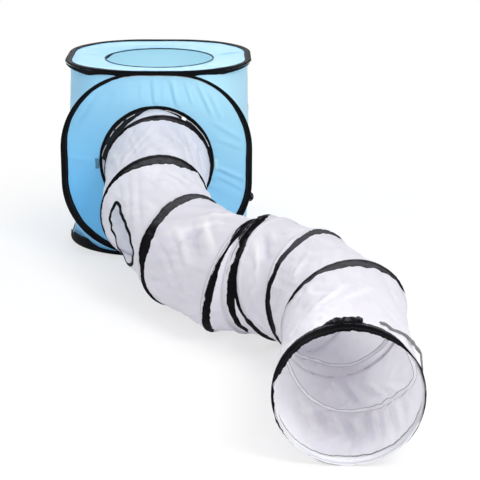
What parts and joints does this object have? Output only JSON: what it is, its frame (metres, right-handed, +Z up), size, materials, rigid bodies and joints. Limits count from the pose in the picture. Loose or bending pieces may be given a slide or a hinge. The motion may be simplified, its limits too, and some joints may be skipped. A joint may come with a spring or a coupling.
{
  "type": "cat tunnel",
  "caption": "Blue pop-up cube for cats with round openings in its front and top, and a white play tunnel on spring hoops that curves out of the front opening.",
  "frame": {"origin": "middle of the cube's floor panel, on its underside, where the cube rests on the ground", "axes": "-Y is the cube's front, where the tunnel leaves it, +X is to the right as seen from the front, and +Z is up"},
  "size_m": [0.7268, 1.5589, 0.45],
  "materials": {
    "blue_cloth": "satin",
    "white_cloth": "satin",
    "black_tape": "matte",
    "teal_tape": "matte",
    "white_tape": "matte",
    "grey_ribbon": "satin",
    "spring_steel": "satin"
  },
  "bodies": {
    "base": {"hoop_tape_bottom": "black_tape", "hoop_wire_bottom": "spring_steel", "panel_bottom": "blue_cloth", "gusset_left": "blue_cloth", "gusset_right": "blue_cloth"},
    "front": {"hoop_tape_front": "black_tape", "hoop_wire_front": "spring_steel", "panel_front": "blue_cloth", "opening_tape_front": "black_tape", "tie_tab_left": "blue_cloth", "tie_tab_right": "white_tape", "storage_loop": "black_tape"},
    "top": {"hoop_tape_top": "black_tape", "hoop_wire_top": "spring_steel", "panel_top": "blue_cloth", "opening_tape_top": "teal_tape"},
    "back": {"hoop_tape_back": "black_tape", "hoop_wire_back": "spring_steel", "panel_back": "blue_cloth"},
    "tunnel_end": {"sleeve_01": "black_tape", "wire_01": "spring_steel", "cloth_01_02": "white_cloth"},
    "hoop_2": {"sleeve_02": "black_tape", "wire_02": "spring_steel", "cloth_02_03": "white_cloth"},
    "hoop_3": {"sleeve_03": "black_tape", "wire_03": "spring_steel", "cloth_03_04": "white_cloth", "peephole_tape": "black_tape"},
    "hoop_4": {"sleeve_04": "black_tape", "wire_04": "spring_steel", "cloth_04_05": "white_cloth"},
    "bend": {"sleeve_05": "black_tape", "wire_05": "spring_steel", "cloth_05_06": "white_cloth", "sleeve_06": "black_tape", "wire_06": "spring_steel", "cloth_06_07": "white_cloth", "section_tie": "black_tape"},
    "hoop_7": {"sleeve_07": "black_tape", "wire_07": "spring_steel", "cloth_07_08": "white_cloth"},
    "hoop_8": {"sleeve_08": "black_tape", "wire_08": "spring_steel", "cloth_08_09": "white_cloth"},
    "hoop_9": {"sleeve_09": "black_tape", "wire_09": "spring_steel", "cloth_09_10": "white_cloth"},
    "hoop_10": {"sleeve_10": "black_tape", "wire_10": "spring_steel", "tie_knot": "black_tape", "tie_tail": "grey_ribbon"}
  },
  "joints": [
    {"name": "front_fold", "type": "hinge", "parent": "base", "child": "front", "pos_m": [0, -0.219, 0.0063], "axis": [-1, 0, 0], "range_deg": [0, 86], "stiffness_Nm_per_rad": 3, "springref_deg": -14.32, "deforming": ["gusset_left", "gusset_right"]},
    {"name": "top_fold", "type": "hinge", "parent": "front", "child": "top", "pos_m": [0, -0.225, 0.4437], "axis": [1, 0, 0], "range_deg": [0, 86]},
    {"name": "back_fold", "type": "hinge", "parent": "base", "child": "back", "pos_m": [0, 0.225, 0.0063], "axis": [-1, 0, 0], "range_deg": [0, 86]},
    {"name": "tunnel_pull", "type": "slide", "parent": "base", "child": "tunnel_end", "axis": [0, -1, 0], "range_m": [0, 0.2]},
    {"name": "gather_02", "type": "hinge", "parent": "tunnel_end", "child": "hoop_2", "pos_m": [0.11107, -0.2401, 0], "axis": [0, 0, -1], "range_deg": [0, 12], "deforming": ["cloth_01_02"]},
    {"name": "gather_03", "type": "hinge", "parent": "hoop_2", "child": "hoop_3", "pos_m": [0.99421, -0.4136, 0], "axis": [0, 0, -1], "range_deg": [0, 8], "deforming": ["cloth_02_03"]},
    {"name": "gather_04", "type": "hinge", "parent": "hoop_3", "child": "hoop_4", "pos_m": [0.31143, -0.35463, 0], "axis": [0, 0, -1], "range_deg": [0, 21], "stiffness_Nm_per_rad": 0.4, "springref_deg": -5.73, "deforming": ["cloth_03_04", "peephole_tape"]},
    {"name": "gather_05", "type": "hinge", "parent": "hoop_4", "child": "bend", "pos_m": [0.51577, -0.42392, 0], "axis": [0, 0, -1], "range_deg": [0, 19], "deforming": ["cloth_04_05"]},
    {"name": "section_swing", "type": "hinge", "parent": "bend", "child": "hoop_7", "pos_m": [0.24062, -0.72496, 0.25271], "axis": [0, 0, 1], "range_deg": [-15, 10], "deforming": ["cloth_06_07"]},
    {"name": "gather_08", "type": "hinge", "parent": "hoop_7", "child": "hoop_8", "pos_m": [-0.26278, -1.16084, 0], "axis": [0, 0, 1], "range_deg": [0, 6], "deforming": ["cloth_07_08"]},
    {"name": "gather_09", "type": "hinge", "parent": "hoop_8", "child": "hoop_9", "pos_m": [0.08642, -0.96539, 0], "axis": [0, 0, 1], "range_deg": [0, 25], "stiffness_Nm_per_rad": 0.4, "springref_deg": -5.73, "deforming": ["cloth_08_09"]},
    {"name": "gather_10", "type": "hinge", "parent": "hoop_9", "child": "hoop_10", "pos_m": [-0.50691, -1.07316, 0], "axis": [0, 0, 1], "range_deg": [0, 20], "deforming": ["cloth_09_10", "tie_tail"]}
  ],
  "couplings": [
    {"joint": "top_fold", "follows": "front_fold", "ratio": 1},
    {"joint": "back_fold", "follows": "front_fold", "ratio": 1},
    {"joint": "gather_02", "follows": "gather_04", "ratio": 0.57143},
    {"joint": "gather_03", "follows": "gather_04", "ratio": 0.38095},
    {"joint": "gather_05", "follows": "gather_04", "ratio": 0.90476},
    {"joint": "gather_08", "follows": "gather_09", "ratio": 0.24},
    {"joint": "gather_10", "follows": "gather_09", "ratio": 0.8}
  ]
}
